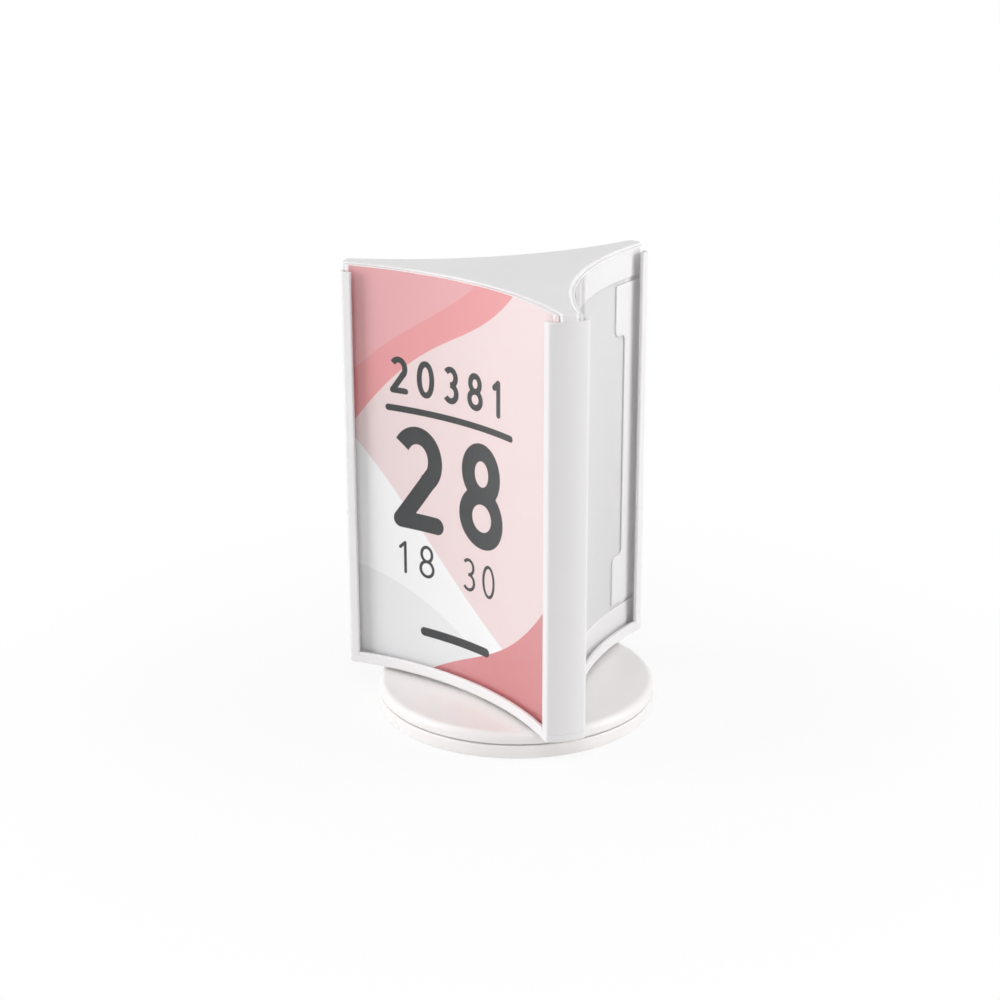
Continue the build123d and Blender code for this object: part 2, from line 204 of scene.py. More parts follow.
def fitted(made, finish, body, slot, *nodes):
    """Gives a finished piece its material and its body, and hides the solids that it stands for. Its slot is
    not used.
    """
    made.data.materials.append(finish)
    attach(made, body)
    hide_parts(*nodes)


def new_group(name, inputs, outputs):
    """Empty shader node group with named sockets, and its two end nodes. An input with a number is a float
    that starts at it, an input with None is a vector, and every output is a float."""
    group = bpy.data.node_groups.new(name, "ShaderNodeTree")
    for socket, value in inputs.items():
        kind = "NodeSocketVector" if value is None else "NodeSocketFloat"
        made = group.interface.new_socket(socket, in_out="INPUT", socket_type=kind)
        if value is not None:
            made.default_value = value
    for socket in outputs:
        group.interface.new_socket(socket, in_out="OUTPUT", socket_type="NodeSocketFloat")
    return group, group.nodes.new("NodeGroupInput"), group.nodes.new("NodeGroupOutput")


def feed(tree, socket, value):
    """Links a socket to another one, or sets it to a plain number, vector or colour."""
    if isinstance(value, bpy.types.NodeSocket):
        tree.links.new(value, socket)
    elif value is not None:
        socket.default_value = value


def math_node(tree, operation, first, second=None, third=None):
    """Math node on sockets or plain numbers; gives its output socket."""
    node = tree.nodes.new("ShaderNodeMath")
    node.operation = operation
    for socket, value in zip(node.inputs, (first, second, third)):
        feed(tree, socket, value)
    return node.outputs[0]


def noise_node(tree, place, scale, detail, roughness=0.5):
    """Noise texture at a place, with its scale given as features per metre."""
    node = tree.nodes.new("ShaderNodeTexNoise")
    for socket, value in zip(("Vector", "Scale", "Detail", "Roughness"), (place, scale, detail, roughness)):
        feed(tree, node.inputs[socket], value)
    return node.outputs[0]


# Fine moulded texture: two sizes of grain for the height, and a slow cloud for shade and gloss
moulded_grain, given, result = new_group(
    "moulded_grain", {"Place": None, "Grain per metre": 2600.0, "Cloud per metre": 22.0}, ["Height", "Cloud"]
)
grain_scale = given.outputs["Grain per metre"]
fine = noise_node(moulded_grain, given.outputs["Place"], grain_scale, detail=2.0, roughness=0.6)
coarse_scale = math_node(moulded_grain, "MULTIPLY", grain_scale, 0.21)
coarse = noise_node(moulded_grain, given.outputs["Place"], coarse_scale, detail=1.0)
grain_height = math_node(moulded_grain, "MULTIPLY_ADD", coarse, 0.6, fine)
moulded_grain.links.new(grain_height, result.inputs["Height"])
cloud = noise_node(moulded_grain, given.outputs["Place"], given.outputs["Cloud per metre"], detail=3.0)
moulded_grain.links.new(cloud, result.inputs["Cloud"])


def new_material(name):
    """Material with its node tree, its shader and the object's own coordinates."""
    made = bpy.data.materials.new(name)
    made.use_nodes = True
    tree = made.node_tree
    place = tree.nodes.new("ShaderNodeTexCoord").outputs["Object"]
    return made, tree, tree.nodes["Principled BSDF"], place


def mixed_colour(tree, mask, first, second):
    """Colour that goes from the first to the second with the mask. A Mix node has its two colours at inputs
    6 and 7 and the mixed one at output 2."""
    node = tree.nodes.new("ShaderNodeMix")
    node.data_type = "RGBA"
    tree.links.new(mask, node.inputs["Factor"])
    for socket, colour in ((node.inputs[6], first), (node.inputs[7], second)):
        feed(tree, socket, (*colour, 1) if isinstance(colour, tuple) else colour)
    return node.outputs[2]


def mapped(tree, value, low, high, new_low, new_high):
    """Value carried from one range to another, held at the ends."""
    node = tree.nodes.new("ShaderNodeMapRange")
    tree.links.new(value, node.inputs["Value"])
    for socket, number in zip(("From Min", "From Max", "To Min", "To Max"), (low, high, new_low, new_high)):
        node.inputs[socket].default_value = number
    return node.outputs["Result"]


def bumped(tree, shader, height, depth, strength):
    """Gives a shader the relief of a height, whose whole range stands for a depth in metres."""
    bump = tree.nodes.new("ShaderNodeBump")
    bump.inputs["Strength"].default_value = strength
    bump.inputs["Distance"].default_value = depth
    tree.links.new(height, bump.inputs["Height"])
    tree.links.new(bump.outputs["Normal"], shader.inputs["Normal"])


def plastic(name, colour, shade, gloss, grain, stretch=1.0):
    """Moulded or extruded plastic: the colour drifts towards its shade and the gloss varies with a slow
    cloud, over a fine grain. A stretch under 1 draws the grain out upwards."""
    made, tree, shader, place = new_material(name)
    drawn = tree.nodes.new("ShaderNodeMapping")
    drawn.inputs["Scale"].default_value = (1, 1, stretch)
    tree.links.new(place, drawn.inputs["Vector"])
    place = drawn.outputs["Vector"]
    texture = tree.nodes.new("ShaderNodeGroup")
    texture.node_tree = moulded_grain
    texture.inputs["Grain per metre"].default_value = grain
    tree.links.new(place, texture.inputs["Place"])
    cloud_mask = mapped(tree, texture.outputs["Cloud"], 0.35, 0.65, 0.0, 1.0)
    tree.links.new(mixed_colour(tree, cloud_mask, colour, shade), shader.inputs["Base Color"])
    tree.links.new(mapped(tree, texture.outputs["Cloud"], 0.3, 0.7, *gloss), shader.inputs["Roughness"])
    bumped(tree, shader, texture.outputs["Height"], depth=0.00001, strength=0.35)
    shader.inputs["IOR"].default_value = 1.47
    return made


warm_plastic = plastic("warm_white_plastic", warm_white, warm_shade, gloss=(0.26, 0.36), grain=1900.0)

base_outline = eased(
    [(hub_bore_radius, base_roof), (pivot_ring[0], base_roof), (pivot_ring[0], base_floor),
     (pivot_ring[1], base_floor), (pivot_ring[1], base_roof), (disc_hollow_radius, base_roof),
     (disc_hollow_radius, base_floor), (disc_radius, base_floor), (disc_radius, base_top),
     (hub_bore_radius, base_top)],
    reach=[0.2, 0.15, 0.2, 0.2, 0.3, 0.5, 0.3, 0.6, 0.55, 0.2],
)
boss = pad(foot_radius + boss_wall, foot_height, base_roof + sunk, low_ease=0.3, high_ease=0.1, steps=48)
base_shells = [turned(base_outline, closed=True)] + [moved(boss, place) for place in foot_places]
rib_middle = (pivot_ring[1] + disc_hollow_radius) / 2
rib_half_length = (disc_hollow_radius - pivot_ring[1]) / 2 + rib_end_sunk
rib = bar(rib_half_length, rib_half_width, rib_floor, base_roof + sunk, ease=0.25)
block = bar(glide_half_length, glide_half_width, base_top - sunk, glide_top, ease=0.3)
block = moved(block, turn=pi / 2)
for rib_index in range(base_ribs):
    rib_turn = 2 * pi * rib_index / base_ribs
    for piece, distance in ((rib, rib_middle), (block, glide_radius)):
        base_shells.append(moved(moved(piece, (distance, 0, 0)), turn=rib_turn))
fitted(solid("lower_disc", base_shells), warm_plastic, "base", "turntable_white", "base_disc")

# Rubber feet
# Four soft black rubber pads, moulded with an eased lower edge and stuck to the bosses under the base disc
# so that it doesn't slide on a table.

rubber_black, rubber_dust = (0.018, 0.018, 0.019), (0.05, 0.048, 0.046)
rubber, tree, shader, place = new_material("black_rubber")
speckle = noise_node(tree, place, scale=900.0, detail=3.0)
dust = mapped(tree, noise_node(tree, place, scale=160.0, detail=2.0), 0.45, 0.75, 0.0, 1.0)
tree.links.new(mixed_colour(tree, dust, rubber_black, rubber_dust), shader.inputs["Base Color"])
tree.links.new(mapped(tree, speckle, 0.3, 0.7, 0.62, 0.82), shader.inputs["Roughness"])
bumped(tree, shader, speckle, depth=0.00004, strength=0.5)
foot = pad(foot_radius, 0, foot_height, low_ease=0.6, high_ease=0.2, steps=64)
feet = solid("foot_pads", [moved(foot, place) for place in foot_places])
fitted(feet, rubber, "base", "foot_rubber", "rubber_feet")

# Turntable disc
# The upper disc turns with the tower. It has the same warm white plastic and width as the base disc, a
# softly rounded top edge, a roof that rests on the glide blocks, and a hub through the base.

turntable_floor, turntable_top, turntable_roof = 5.95, 10.3, 8.5
hub_radius, hub_floor = 7.0, 3.45
plug_bore_radius, plug_bore_top = 3.05, 8.85
top_edge_radius = 2.3
turntable_outline = eased(
    [(0, plug_bore_top), (plug_bore_radius, plug_bore_top), (plug_bore_radius, hub_floor),
     (hub_radius, hub_floor), (hub_radius, turntable_floor), (pivot_ring[1], turntable_floor),
     (pivot_ring[1], turntable_roof), (disc_hollow_radius, turntable_roof),
     (disc_hollow_radius, turntable_floor), (disc_radius, turntable_floor),
     (disc_radius, turntable_top), (0, turntable_top)],
    reach=[0.1, 0.1, 0.1, 0.3, 0.1, 0.2, 0.3, 0.4, 0.2, 0.4, top_edge_radius, 0.1],
    closed=False,
    steps=9,
)
upper_disc = solid("upper_disc", [turned(turntable_outline)])
fitted(upper_disc, warm_plastic, "rotor", "turntable_white", "turntable_disc")

# Pivot plug
# A plug moulded in natural nylon, pressed up into the hub from under the base disc. Its flange is wider than
# the base's bore and keeps the two discs together.

plug_floor, plug_top = 2.25, 8.45
plug_flange_radius, plug_stem_radius = 9.5, 3.0
nylon_cream, nylon_shade = (0.62, 0.60, 0.54), (0.57, 0.55, 0.49)
nylon = plastic("natural_nylon", nylon_cream, nylon_shade, gloss=(0.38, 0.5), grain=1500.0)
plug_outline = eased(
    [(0, plug_floor), (plug_flange_radius, plug_floor), (plug_flange_radius, hub_floor),
     (plug_stem_radius, hub_floor), (plug_stem_radius, plug_top), (0, plug_top)],
    reach=[0.1, 0.4, 0.2, 0.1, 0.5, 0.1],
    closed=False,
)
fitted(solid("hub_plug", [turned(plug_outline, steps=96)]), nylon, "rotor", "plug_plastic", "pivot_plug")

# Bottom tray
# One moulding in cool white plastic, fixed on the turntable by a round pad. Its rim rises to a lip along
# the foot of each face, and behind the lip an upstand leaves the slot that the sheets stand in.

corner_front_radius, corner_ease, corner_wall = 24.0, 0.8, 1.5
face_radius, lip_inner_radius, lip_outer_radius = 123.2, 120.4, 119.0
card_front_radius, card_back_radius = 122.7, 123.0
skirt_back_radius, panel_front_radius, panel_back_radius, spine_back_radius = 124.4, 124.5, 126.0, 126.1
tray_floor, sheet_floor, post_floor, lip_top = 11.8, 13.2, 14.7, 15.9
upstand_top = 24.4
tray_pad_radius, tray_edge, tray_sunk, seat_gap = 23.0, 0.7, 0.6, 0.02
lip_wall, lip_length, lip_edge, lip_end_gap = 1.4, 3.6, 0.35, 0.1
slot_half_width, slot_end_offset, skirt_end_gap = 52.7, 3.27, 0.15
shoulder_depth, spine_depth, flat_margin = 11.6, 19.4, 1.0
cool_white = (0.84, 0.828, 0.834)
cool_shade = (0.825, 0.812, 0.818)
face_turns = [radians(120 * index) for index in range(3)]
first_corner = radians(-30)
half_step = 60.0
card_radius = (card_front_radius + card_back_radius) / 2
slot_end_angle = slot_half_width / card_radius + radians(half_step)
centre_side = slot_end_offset + card_radius * sin(slot_end_angle)
face_centre = centre_side / sin(radians(half_step))
centre_reach = face_centre * cos(radians(half_step))
slot_end_reach = centre_reach - card_radius * cos(slot_end_angle)
corner_reach = slot_end_reach + corner_wall
shoulder_reach = corner_reach - shoulder_depth


def face_angle(radius, reach):
    """Angle from a face's middle where its arc of this radius has come this far out along the corner."""
    return degrees(acos((centre_reach - reach) / radius)) - half_step


def front_angle(radius, depth=0.0):
    """Angle from a face's middle where its arc meets the corner's bulge, by the law of cosines in the
    triangle of face centre, bulge centre and meeting point."""
    bulge = corner_reach - corner_front_radius
    out, along = face_centre - bulge * cos(radians(half_step)), bulge * sin(radians(half_step))
    gap = hypot(out, along)
    opening = acos((gap**2 + radius**2 - (corner_front_radius - depth) ** 2) / (2 * gap * radius))
    return degrees(atan2(along, out) + opening)


def on_face(radius, angle):
    """Points of the arc of a radius about the first face's centre, at angles in radians from its middle:
    (r sin a, r cos a - centre). Positive angles lie to the right as one looks at the face."""
    return np.stack([radius * np.sin(angle), radius * np.cos(angle) - face_centre], -1)


def eased_corner(a, c, b, weight=0.85, steps=7):
    """Conic from a to b with its handle at c, without its end points."""
    return conic(a, c, b, weight, np.linspace(0, 1, steps)[1:-1, None])


def tower_loop(arc_radius, depth, mark, ends=6, middle=64, bulge_steps=17):
    """Plan of the tower drawn in by a depth d: along each face the arc of radius r + d, at each corner the
    bulge of its own radius less d, and an eased corner between them. Also gives 1 for the steps within the
    mark angle of a face's middle and 0 for the others, with a step of each kind at the mark itself."""
    radius, bulge_radius = arc_radius + depth, corner_front_radius - depth
    end = radians(front_angle(radius, depth))
    ease = max(corner_ease - depth, 0.1)
    stop, mark = end - ease / radius, radians(mark)
    before_mark, after_mark = np.linspace(-stop, -mark, ends), np.linspace(mark, stop, ends)
    arc = on_face(radius, np.r_[before_mark, np.linspace(-mark, mark, middle), after_mark])
    flags = np.r_[np.zeros(ends), np.ones(middle), np.zeros(ends)]
    out = np.array([cos(first_corner), sin(first_corner)])
    side = np.array([-sin(first_corner), cos(first_corner)])
    tip = on_face(radius, end)
    half_bulge = asin(abs(tip @ side) / bulge_radius)
    swing = np.linspace(-1, 1, bulge_steps) * (half_bulge - ease / bulge_radius)
    bulge_centre = (corner_reach - corner_front_radius) * out
    bulge = bulge_centre + bulge_radius * (np.cos(swing)[:, None] * out + np.sin(swing)[:, None] * side)
    mirrored = 2 * (tip @ out) * out - tip
    next_start = 2 * (arc[-1] @ out) * out - arc[-1]
    before, after = eased_corner(arc[-1], tip, bulge[0]), eased_corner(bulge[-1], mirrored, next_start)
    block = np.concatenate([arc, before, bulge, after])
    flags = np.r_[flags, np.zeros(len(block) - len(flags))]
    turns = [np.array([[cos(a), sin(a)], [-sin(a), cos(a)]]) for a in face_turns]
    return np.concatenate([block @ turn for turn in turns]), np.tile(flags, 3)


def plate(arc_radius, profile, mark):
    """Plate with the tower's plan. Each level of the profile is a depth, a height, and how much higher the
    steps within the mark stand."""
    loops = []
    for depth, height, rise in profile:
        loop, flags = tower_loop(arc_radius, depth, mark)
        loops.append(np.c_[loop, height + rise * flags])
    return skin(np.array(loops), "pole", "pole")


def bent(radius):
    """Placing function for a bar bent about the first face's centre: angle s / r and radius r + t."""
    return lambda s, t: on_face(radius + t, s / radius).T


def sheet(front, back, half_angle, bottom, top, ease, edge=None, columns=72):
    """Curved sheet between two radii about the first face's centre."""
    middle, half_wall = (front + back) / 2, (back - front) / 2
    half_length = middle * radians(half_angle)
    return bar(half_length, half_wall, bottom, top, ease, columns, bent(middle), edge)


def joined(runs, cuts, steps=5, most=0.4):
    """Closed outline of runs laid end to end. Each run is cut back along its length at both ends, by no more
    than a share of it, and the gap is filled by an eased corner with the meeting point as its handle."""
    lengths = [np.linalg.norm(np.diff(run, axis=0), axis=1).sum() for run in runs]
    beside = zip(cuts, lengths[-1:] + lengths, lengths)
    cuts = [min(cut, most * before, most * after) for cut, before, after in beside]
    kept = []
    for run, length, first, last in zip(runs, lengths, cuts, cuts[1:] + cuts[:1]):
        along = np.r_[0, np.cumsum(np.linalg.norm(np.diff(run, axis=0), axis=1))]
        at = first + along * (length - first - last) / length
        kept.append(np.stack([np.interp(at, along, run[:, axis]) for axis in (0, 1)], -1))
    parts = []
    for before, run, after in zip(kept[-1:] + kept[:-1], runs, kept):
        parts += [eased_corner(before[-1], run[0], after[0], 0.8, steps), after]
    return np.concatenate(parts)


def drawn_in(outline, inset):
    """The outline moved inwards along its normals, which are square to the line between neighbours."""
    along = np.roll(outline, -1, 0) - np.roll(outline, 1, 0)
    along /= np.linalg.norm(along, axis=1)[:, None]
    return outline + inset * np.stack([-along[:, 1], along[:, 0]], -1)


def at_level(outline, inset, height):
    """The outline drawn in and raised to a height."""
    return np.c_[drawn_in(outline, inset), np.full(len(outline), height)]


def column(outline, bottom, top, low_ease, high_ease):
    """Column with a closed outline, its end edges eased."""
    loops = [at_level(outline, *level) for level in zip(*levels(bottom, top, low_ease, high_ease))]
    return skin(np.array(loops), "flat", "flat")


def corner_arc(radius, start, end, steps=24):
    """Stretch of a face's arc between two angles, seen from the corner: X out along it, Y to the side."""
    turn = np.radians(np.linspace(start, end, steps) + half_step)
    return np.stack([centre_reach - radius * np.cos(turn), centre_side - radius * np.sin(turn)], -1)


def both_sides(front, curves, cuts):
    """Outline that is the same on both sides of a corner: the front from side to side, the curves back along
    the positive side with straight runs between them, a straight tail, and the same mirrored. The cuts are
    at the starts of the curves and runs, and at their end."""
    runs = curves[:1]
    for before, after in zip(curves, curves[1:]):
        runs += [np.array([before[-1], after[0]]), after]
    tail_run = np.array([runs[-1][-1], runs[-1][-1] * (1, -1)])
    other = [run[::-1] * (1, -1) for run in reversed(runs)]
    return joined([front] + runs + [tail_run] + other, cuts[:1] + cuts + cuts[:0:-1])


def low_edge(radius, floor, steps=6):
    """Levels of a profile up a lower edge that is a quarter circle, from the underside to the side: depth
    r(1 - sin a) and height r(1 - cos a) over the floor."""
    turns = np.linspace(0, pi / 2, steps)
    return [(radius * (1 - sin(a)), floor + radius * (1 - cos(a)), 0) for a in turns]


def high_edge(radius, top, rise=0, steps=6):
    """Levels of a profile up an upper edge that is a quarter circle, from the side to the top: depth
    r(1 - cos a) and height r(1 - sin a) under the top."""
    turns = np.linspace(0, pi / 2, steps)
    return [(radius * (1 - cos(a)), top - radius * (1 - sin(a)), rise) for a in turns]


outer_end = front_angle(lip_outer_radius)
tip_angle = outer_end - degrees(lip_length / lip_outer_radius)
slot_end = face_angle(face_radius, slot_end_reach)
lip_slot_end = face_angle(lip_inner_radius, slot_end_reach)
shoulder = face_angle(panel_front_radius, shoulder_reach)
tail = face_angle(spine_back_radius, corner_reach - spine_depth)
guide = corner_arc(face_radius, slot_end, shoulder)
spine = corner_arc(spine_back_radius, shoulder, tail)
cool_plastic = plastic("cool_white_moulded", cool_white, cool_shade, gloss=(0.28, 0.38), grain=2600.0)

lip_end = tip_angle - degrees(lip_end_gap / lip_outer_radius)
lip_rim = high_edge(lip_edge, post_floor, lip_top - post_floor)
tray_profile = [(tray_edge + flat_margin, tray_floor, 0), *low_edge(tray_edge, tray_floor)]
tray_profile += [(0, sheet_floor, 0), *lip_rim]
tray_profile += [(lip_wall - depth, height, rise) for depth, height, rise in reversed(lip_rim)]
tray_profile += [(lip_wall, sheet_floor, 0), (lip_wall + flat_margin, sheet_floor, 0)]
seat_floor = sheet_floor - tray_sunk
skirt_half = slot_end - degrees(skirt_end_gap / face_radius)
upstand = sheet(face_radius, skirt_back_radius, skirt_half, seat_floor, upstand_top, ease=0.3, edge=0.2)
seat_front = np.array([guide[0] * (1, -1), guide[0]])
seat_outline = drawn_in(both_sides(seat_front, [guide, spine], [0.2, 0.2, 0.2, 0.3]), seat_gap)
seat = column(seat_outline, seat_floor, post_floor, low_ease=0.1, high_ease=0.15)
tray_shells = [plate(lip_outer_radius, tray_profile, lip_end)]
tray_shells += [moved(seat, turn=turn + first_corner) for turn in face_turns]
tray_shells += [moved(upstand, turn=turn) for turn in face_turns]
tray_shells.append(pad(tray_pad_radius, turntable_top, tray_floor + tray_sunk, 0.3, 0.1, 128))
fitted(solid("tray", tray_shells), cool_plastic, "rotor", "tower_white", "bottom_tray")

# Corner posts
# White profiles that stand on the tray at its three corners and carry the cap. Each has a bulged front, a
# lip down each side that holds the sheets' edges, and flanges that are drawn back along their middle.

post_top, skirt_floor, flange_gap = 159.1, 150.6, 1.6
flange_floor, flange_top = upstand_top + flange_gap, skirt_floor - flange_gap
relief_floor, relief_top, relief_ease = 45.0, 130.0, 2.3
flange_width, past_shoulder, least_step = 16.8, 0.1, 0.05
guide_width = radians(slot_end - shoulder) * face_radius + past_shoulder
outer_arc = corner_arc(lip_outer_radius, outer_end, tip_angle, 12)
inner_arc = corner_arc(lip_inner_radius, tip_angle, lip_slot_end, 16)
half_bulge = asin(outer_arc[0, 1] / corner_front_radius)
swing = np.linspace(-half_bulge, half_bulge, 40)
bulge = corner_front_radius * np.stack([np.cos(swing) - 1, np.sin(swing)], -1) + (corner_reach, 0)


def post_outline(guide_radius, width):
    """Outline of a post at one height, where its guides stand at this radius and have this width."""
    edge = slot_end - degrees(width / face_radius)
    front = corner_arc(guide_radius, slot_end, edge, 16)
    back = corner_arc(max(skirt_back_radius, guide_radius + least_step), edge, shoulder, 8)
    curves = [outer_arc, inner_arc, front, back, spine]
    return both_sides(bulge, curves, [0.9, 0.5, 0.5, 0.3, 0.3, 0.3, 0.12, 0.05, 0.05, 0.3])


def relief_step(height, up):
    """Widths and heights along one end of the relief, where the flange goes from its full width to that of
    the guide: a quarter circle on the flange, a level run, and a quarter circle into the guide."""
    turn = np.linspace(0, pi / 2, 7)
    rounding, fading = relief_ease * (1 - np.cos(turn)), relief_ease * (1 - np.sin(turn))
    widths = np.r_[flange_width - rounding, guide_width + fading]
    return list(zip(widths, np.r_[height - up * fading, height + up * rounding]))


relief_steps = relief_step(relief_floor, 1) + relief_step(relief_top, -1)[::-1]
flange_steps = [(flange_width, flange_floor), *relief_steps, (flange_width, flange_top)]
foot_levels = zip(*levels(post_floor, flange_floor, low_ease=0.12, high_ease=0.01))
head_levels = zip(*levels(flange_top, post_top, low_ease=0.01, high_ease=0.22))
sections = [(panel_front_radius, guide_width, *level) for level in foot_levels]
sections += [(face_radius, width, 0, height) for width, height in flange_steps]
sections += [(panel_front_radius, guide_width, *level) for level in head_levels]
post_loops = [at_level(post_outline(radius, width), *level) for radius, width, *level in sections]
post = skin(np.array(post_loops), "flat", "flat")
extruded_plastic = plastic(
    "cool_white_extruded", cool_white, cool_shade, gloss=(0.24, 0.32), grain=1400.0, stretch=0.02
)
for index, turn in enumerate(face_turns):
    made = solid(f"post_{index + 1}", [moved(post, turn=turn + first_corner)])
    fitted(made, extruded_plastic, "rotor", "tower_white", f"corner_post_{index + 1}")

# Back panels
# Curved white sheets that slide into the posts' rebates, behind the flanges, and close the tower behind
# each face. Their white is painted darker than the tower's white, as painted shade for their sunk place.

panel_bottom, panel_top, panel_end_gap = 13.4, 158.9, 0.15
# Painted shade: the panels' white is darker than the tower's own white, for the shade behind flanges and
# covers
shaded_panel_white, shaded_panel_tone = (0.68, 0.67, 0.675), (0.665, 0.655, 0.66)
panel_half = shoulder - degrees(panel_end_gap / panel_front_radius)
shaded_panel_plastic = plastic("white_sheet_painted_shade", shaded_panel_white, shaded_panel_tone, gloss=(0.30, 0.36), grain=3200.0)
panel = sheet(panel_front_radius, panel_back_radius, panel_half, panel_bottom, panel_top, ease=0.2)
for index, turn in enumerate(face_turns):
    made = solid(f"panel_{index + 1}", [moved(panel, turn=turn)])
    fitted(made, shaded_panel_plastic, "rotor", "tower_white", f"back_panel_{index + 1}")

# Top cap
# One moulding in cool white plastic, pressed onto the posts. Its plate follows the tower's plan flush with
# the posts' fronts, and a skirt below it stands opposite each upstand.

cap_top, cap_edge, cap_under_edge = 161.8, 0.55, 0.15
cap_margin, cap_under_margin = 1.15, 1.2
skirt_sunk, skirt_gap = 0.5, 0.01
cap_profile = [(cap_under_margin, post_top, 0), *low_edge(cap_under_edge, post_top)]
cap_profile += [*high_edge(cap_edge, cap_top), (cap_margin, cap_top, 0)]
skirt_front_radius, skirt_top = face_radius + skirt_gap, post_top + skirt_sunk
skirt = sheet(skirt_front_radius, skirt_back_radius, skirt_half, skirt_floor, skirt_top, ease=0.3, edge=0.2)
cap_shells = [plate(face_radius, cap_profile, shoulder)] + [moved(skirt, turn=turn) for turn in face_turns]
fitted(solid("cap", cap_shells), cool_plastic, "rotor", "tower_white", "top_cap")

# Clear covers
# Sheets of clear plastic, one before each face, that slide down behind the posts' lips onto the tray and
# hold a printed card against the face's curve. Their sawn edges are matt white, and at the ends the white
# runs onto the faces as a painted highlight for the glint along the edges.

sheet_top, cover_end_gap = 161.2, 0.3
cover_front_radius, cover_back_radius = 121.5, 122.5
# Painted highlight: the sawn white runs 1.2 mm onto each end of the faces, for the glint along the edges
sawn_and_glint_end_band, sawn_top = 1.2, 0.12
clear_tint, sawn_white_and_glint, light_kept = (0.95, 0.95, 0.95, 1), (0.93, 0.93, 0.93, 1), (0.97, 0.97, 0.97, 1)
cover_radius = (cover_front_radius + cover_back_radius) / 2
cover_half = face_angle(cover_front_radius, slot_end_reach - cover_end_gap)
cover_width, cover_height = 2 * cover_radius * radians(cover_half), sheet_top - sheet_floor


def laid_flat(made, turn, radius, bottom, width, height):
    """UV map of a curved sheet as if it lay flat: u = (s / width + 1/2) along it, s = r a, and v up it, with
    2 added to u on its back."""
    spots = np.empty(len(made.data.vertices) * 3, np.float32)
    made.data.vertices.foreach_get("co", spots)
    spots, _, _ = moved((spots.reshape(-1, 3) * 1000, None, None), turn=-turn)
    x, y, z = spots.T
    u = radius * np.arctan2(x, y + face_centre) / width + 0.5
    u = np.where(np.hypot(x, y + face_centre) < radius, u, u + 2)
    flat_spots = np.stack([u, (z - bottom) / height], -1)
    corner_points = np.empty(len(made.data.loops), np.int32)
    made.data.loops.foreach_get("vertex_index", corner_points)
    flat_map = made.data.uv_layers.new(name="flat_place")
    flat_map.data.foreach_set("uv", flat_spots[corner_points].astype(np.float32).ravel())


def flat_place(tree, width, height):
    """A curved sheet's flat place, in millimetres from its lower left corner."""
    flat = tree.nodes.new("ShaderNodeUVMap")
    flat.uv_map = "flat_place"
    spread = tree.nodes.new("ShaderNodeMapping")
    spread.inputs["Scale"].default_value = (width, height, 1)
    tree.links.new(flat.outputs["UV"], spread.inputs["Vector"])
    split = tree.nodes.new("ShaderNodeSeparateXYZ")
    tree.links.new(spread.outputs["Vector"], split.inputs[0])
    return spread.outputs["Vector"], split.outputs["X"], split.outputs["Y"]


def mixed_shader(tree, mask, first, second):
    """Shader that goes from the first to the second with the mask."""
    node = tree.nodes.new("ShaderNodeMixShader")
    for socket, value in zip(node.inputs, (mask, first, second)):
        tree.links.new(value, socket)
    return node.outputs["Shader"]


clear_sheet, tree, shader, place = new_material("clear_sheet")
smudge = noise_node(tree, place, scale=34.0, detail=4.0, roughness=0.6)
shader.inputs["Base Color"].default_value = clear_tint
shader.inputs["Transmission Weight"].default_value = 1.0
shader.inputs["IOR"].default_value = 1.49
tree.links.new(mapped(tree, smudge, 0.45, 0.75, 0.02, 0.07), shader.inputs["Roughness"])
sawn_and_glint = tree.nodes.new("ShaderNodeBsdfPrincipled")
sawn_and_glint.inputs["Base Color"].default_value = sawn_white_and_glint
sawn_and_glint.inputs["Roughness"].default_value = 0.55
see_through = tree.nodes.new("ShaderNodeBsdfTransparent")
see_through.inputs["Color"].default_value = light_kept
_, flat_across, flat_up = flat_place(tree, cover_width, cover_height)
on_either_side = math_node(tree, "WRAP", flat_across, cover_width, 0.0)
from_middle = math_node(tree, "ABSOLUTE", math_node(tree, "SUBTRACT", on_either_side, cover_width / 2))
# Matt white at the sawn end, and over a wider band as a painted highlight of the edge's glint
at_end = math_node(tree, "GREATER_THAN", from_middle, cover_width / 2 - sawn_and_glint_end_band)
at_top = math_node(tree, "GREATER_THAN", flat_up, cover_height - sawn_top)
sawn_edge_and_glint = math_node(tree, "MAXIMUM", at_end, at_top)
rays = tree.nodes.new("ShaderNodeLightPath").outputs
light_ray = math_node(tree, "MAXIMUM", rays["Is Shadow Ray"], rays["Is Diffuse Ray"])
passed_through = see_through.outputs["BSDF"]
sheet_shader = mixed_shader(tree, rays["Is Transmission Ray"], shader.outputs["BSDF"], passed_through)
sheet_shader = mixed_shader(tree, sawn_edge_and_glint, sheet_shader, sawn_and_glint.outputs["BSDF"])
sheet_shader = mixed_shader(tree, light_ray, sheet_shader, passed_through)
tree.links.new(sheet_shader, tree.nodes["Material Output"].inputs["Surface"])
cover = sheet(cover_front_radius, cover_back_radius, cover_half, sheet_floor, sheet_top, ease=0.2)
for index, turn in enumerate(face_turns):
    made = solid(f"cover_sheet_{index + 1}", [moved(cover, turn=turn)])
    laid_flat(made, turn, cover_radius, sheet_floor, cover_width, cover_height)
    fitted(made, clear_sheet, f"cover_{index + 1}", "clear_sheet", f"clear_cover_{index + 1}")

# Printed card
# A coated paper card, 105 by 148 mm, behind the cover of the first face. It is printed with soft waves of
# rose, pink and grey, plain figures in three weights, a rule and a bar.

